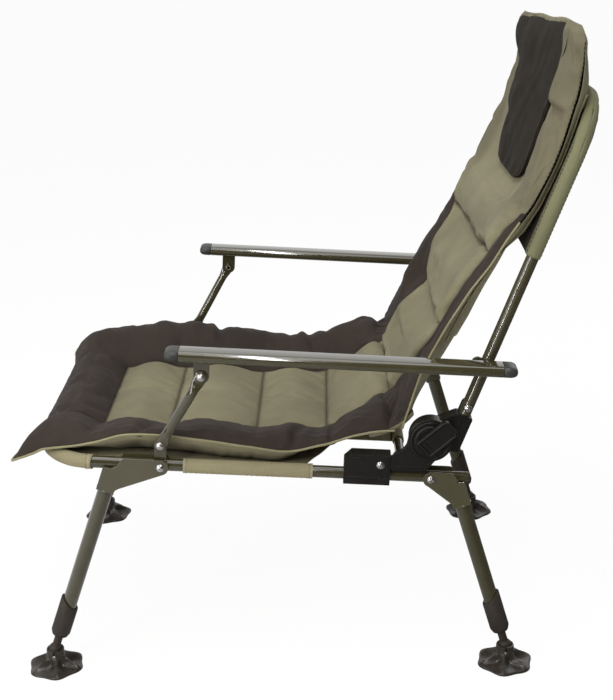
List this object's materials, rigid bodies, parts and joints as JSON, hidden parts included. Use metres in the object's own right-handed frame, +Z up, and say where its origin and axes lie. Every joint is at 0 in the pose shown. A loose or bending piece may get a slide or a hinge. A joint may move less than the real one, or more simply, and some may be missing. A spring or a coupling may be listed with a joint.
{
  "type": "folding fishing chair",
  "caption": "Folding reclining fishing chair with a padded seat, tall padded back, armrests and adjustable legs on mud feet.",
  "frame": {"origin": "middle of the footprint, on the floor plane", "axes": "+Z up, the chair faces -Y, +X is the sitter's left"},
  "size_m": [0.676, 0.9406, 1.0595],
  "materials": {
    "frame_paint": "gloss dark olive green paint",
    "bolt_steel": "bright zinc",
    "moulded_plastic": "satin moulded black plastic",
    "cap_plastic": "gloss dark brown-grey plastic",
    "foot_rubber": "matte black moulding",
    "khaki_fabric": "matte woven polyester",
    "dark_fabric": "soft matte brushed polyester"
  },
  "bodies": {
    "seat": {"seat_frame": "frame_paint", "rear_cross_bar": "frame_paint", "left_rail_plug": "moulded_plastic", "right_rail_plug": "moulded_plastic", "left_saddle_clip": "moulded_plastic", "right_saddle_clip": "moulded_plastic", "left_hinge_base": "moulded_plastic", "right_hinge_base": "moulded_plastic", "left_hub_bolt": "bolt_steel", "right_hub_bolt": "bolt_steel", "left_front_leg_bolt": "bolt_steel", "right_front_leg_bolt": "bolt_steel", "left_rear_leg_bolt": "bolt_steel", "right_rear_leg_bolt": "bolt_steel", "seat_mattress": "khaki_fabric", "seat_cloth": "khaki_fabric"},
    "back": {"backrest_frame": "frame_paint", "left_hinge_arm": "moulded_plastic", "right_hinge_arm": "moulded_plastic", "left_arm_bolt": "bolt_steel", "right_arm_bolt": "bolt_steel", "back_mattress": "khaki_fabric", "head_pillow": "dark_fabric", "back_cloth": "khaki_fabric", "back_hood": "khaki_fabric"},
    "left_strut_body": {"left_strut": "frame_paint", "left_strut_lower_bolt": "bolt_steel", "left_strut_upper_bolt": "bolt_steel"},
    "right_strut_body": {"right_strut": "frame_paint", "right_strut_lower_bolt": "bolt_steel", "right_strut_upper_bolt": "bolt_steel"},
    "left_armrest_body": {"left_armrest": "frame_paint", "left_armrest_front_cap": "cap_plastic", "left_armrest_rear_cap": "cap_plastic"},
    "right_armrest_body": {"right_armrest": "frame_paint", "right_armrest_front_cap": "cap_plastic", "right_armrest_rear_cap": "cap_plastic"},
    "left_lever": {"left_release_lever": "moulded_plastic"},
    "right_lever": {"right_release_lever": "moulded_plastic"},
    "left_front_leg": {"left_front_leg_bracket": "frame_paint", "left_front_leg_tube": "frame_paint", "left_front_leg_sleeve": "moulded_plastic"},
    "right_front_leg": {"right_front_leg_bracket": "frame_paint", "right_front_leg_tube": "frame_paint", "right_front_leg_sleeve": "moulded_plastic"},
    "left_rear_leg": {"left_rear_leg_bracket": "frame_paint", "left_rear_leg_tube": "frame_paint", "left_rear_leg_sleeve": "moulded_plastic"},
    "right_rear_leg": {"right_rear_leg_bracket": "frame_paint", "right_rear_leg_tube": "frame_paint", "right_rear_leg_sleeve": "moulded_plastic"},
    "left_front_extension": {"left_front_leg_extension": "moulded_plastic"},
    "right_front_extension": {"right_front_leg_extension": "moulded_plastic"},
    "left_rear_extension": {"left_rear_leg_extension": "moulded_plastic"},
    "right_rear_extension": {"right_rear_leg_extension": "moulded_plastic"},
    "left_front_mud_foot": {"left_front_foot": "foot_rubber"},
    "right_front_mud_foot": {"right_front_foot": "foot_rubber"},
    "left_rear_mud_foot": {"left_rear_foot": "foot_rubber"},
    "right_rear_mud_foot": {"right_rear_foot": "foot_rubber"}
  },
  "joints": [
    {"name": "backrest_recline", "type": "hinge", "parent": "seat", "child": "back", "pos_m": [0, 0.21116, 0.42044], "axis": [-1, 0, 0], "range_deg": [-102, 40], "deforming": ["back_mattress", "head_pillow"]},
    {"name": "left_strut_swing", "type": "hinge", "parent": "seat", "child": "left_strut_body", "pos_m": [0.3, -0.22284, 0.41359], "axis": [-1, 0, 0], "range_deg": [-102, 40]},
    {"name": "right_strut_swing", "type": "hinge", "parent": "seat", "child": "right_strut_body", "pos_m": [-0.3, -0.22284, 0.41359], "axis": [-1, 0, 0], "range_deg": [-102, 40]},
    {"name": "left_armrest_swing", "type": "hinge", "parent": "left_strut_body", "child": "left_armrest_body", "pos_m": [0.316, -0.14963, 0.53819], "axis": [-1, 0, 0], "range_deg": [-40, 102]},
    {"name": "right_armrest_swing", "type": "hinge", "parent": "right_strut_body", "child": "right_armrest_body", "pos_m": [-0.316, -0.14963, 0.53819], "axis": [-1, 0, 0], "range_deg": [-40, 102]},
    {"name": "left_lever_press", "type": "hinge", "parent": "back", "child": "left_lever", "pos_m": [0.32, 0.21116, 0.42044], "axis": [-1, 0, 0], "range_deg": [0, 22]},
    {"name": "right_lever_press", "type": "hinge", "parent": "back", "child": "right_lever", "pos_m": [-0.32, 0.21116, 0.42044], "axis": [-1, 0, 0], "range_deg": [0, 22]},
    {"name": "left_front_leg_fold", "type": "hinge", "parent": "seat", "child": "left_front_leg", "pos_m": [0.29, -0.22418, 0.37601], "axis": [1, 0, 0], "range_deg": [0, 80]},
    {"name": "right_front_leg_fold", "type": "hinge", "parent": "seat", "child": "right_front_leg", "pos_m": [-0.29, -0.22418, 0.37601], "axis": [1, 0, 0], "range_deg": [0, 80]},
    {"name": "left_rear_leg_fold", "type": "hinge", "parent": "seat", "child": "left_rear_leg", "pos_m": [0.29, 0.21313, 0.3498], "axis": [1, 0, 0], "range_deg": [-103, 0]},
    {"name": "right_rear_leg_fold", "type": "hinge", "parent": "seat", "child": "right_rear_leg", "pos_m": [-0.29, 0.21313, 0.3498], "axis": [1, 0, 0], "range_deg": [-103, 0]},
    {"name": "left_front_leg_adjust", "type": "slide", "parent": "left_front_leg", "child": "left_front_extension", "axis": [0, -0.3369, -0.9415], "range_m": [0, 0.12]},
    {"name": "right_front_leg_adjust", "type": "slide", "parent": "right_front_leg", "child": "right_front_extension", "axis": [0, -0.3369, -0.9415], "range_m": [0, 0.12]},
    {"name": "left_rear_leg_adjust", "type": "slide", "parent": "left_rear_leg", "child": "left_rear_extension", "axis": [0, 0.2852, -0.9585], "range_m": [0, 0.12]},
    {"name": "right_rear_leg_adjust", "type": "slide", "parent": "right_rear_leg", "child": "right_rear_extension", "axis": [0, 0.2852, -0.9585], "range_m": [0, 0.12]},
    {"name": "left_front_foot_tilt", "type": "hinge", "parent": "left_front_extension", "child": "left_front_mud_foot", "pos_m": [0.29, -0.42476, 0.034], "axis": [1, 0, 0], "range_deg": [-20, 20]},
    {"name": "right_front_foot_tilt", "type": "hinge", "parent": "right_front_extension", "child": "right_front_mud_foot", "pos_m": [-0.29, -0.42476, 0.034], "axis": [1, 0, 0], "range_deg": [-20, 20]},
    {"name": "left_rear_foot_tilt", "type": "hinge", "parent": "left_rear_extension", "child": "left_rear_mud_foot", "pos_m": [0.29, 0.34431, 0.034], "axis": [1, 0, 0], "range_deg": [-20, 20]},
    {"name": "right_rear_foot_tilt", "type": "hinge", "parent": "right_rear_extension", "child": "right_rear_mud_foot", "pos_m": [-0.29, 0.34431, 0.034], "axis": [1, 0, 0], "range_deg": [-20, 20]}
  ],
  "couplings": [
    {"joint": "left_strut_swing", "follows": "backrest_recline", "ratio": 1},
    {"joint": "right_strut_swing", "follows": "backrest_recline", "ratio": 1},
    {"joint": "left_armrest_swing", "follows": "backrest_recline", "ratio": -1},
    {"joint": "right_armrest_swing", "follows": "backrest_recline", "ratio": -1}
  ]
}
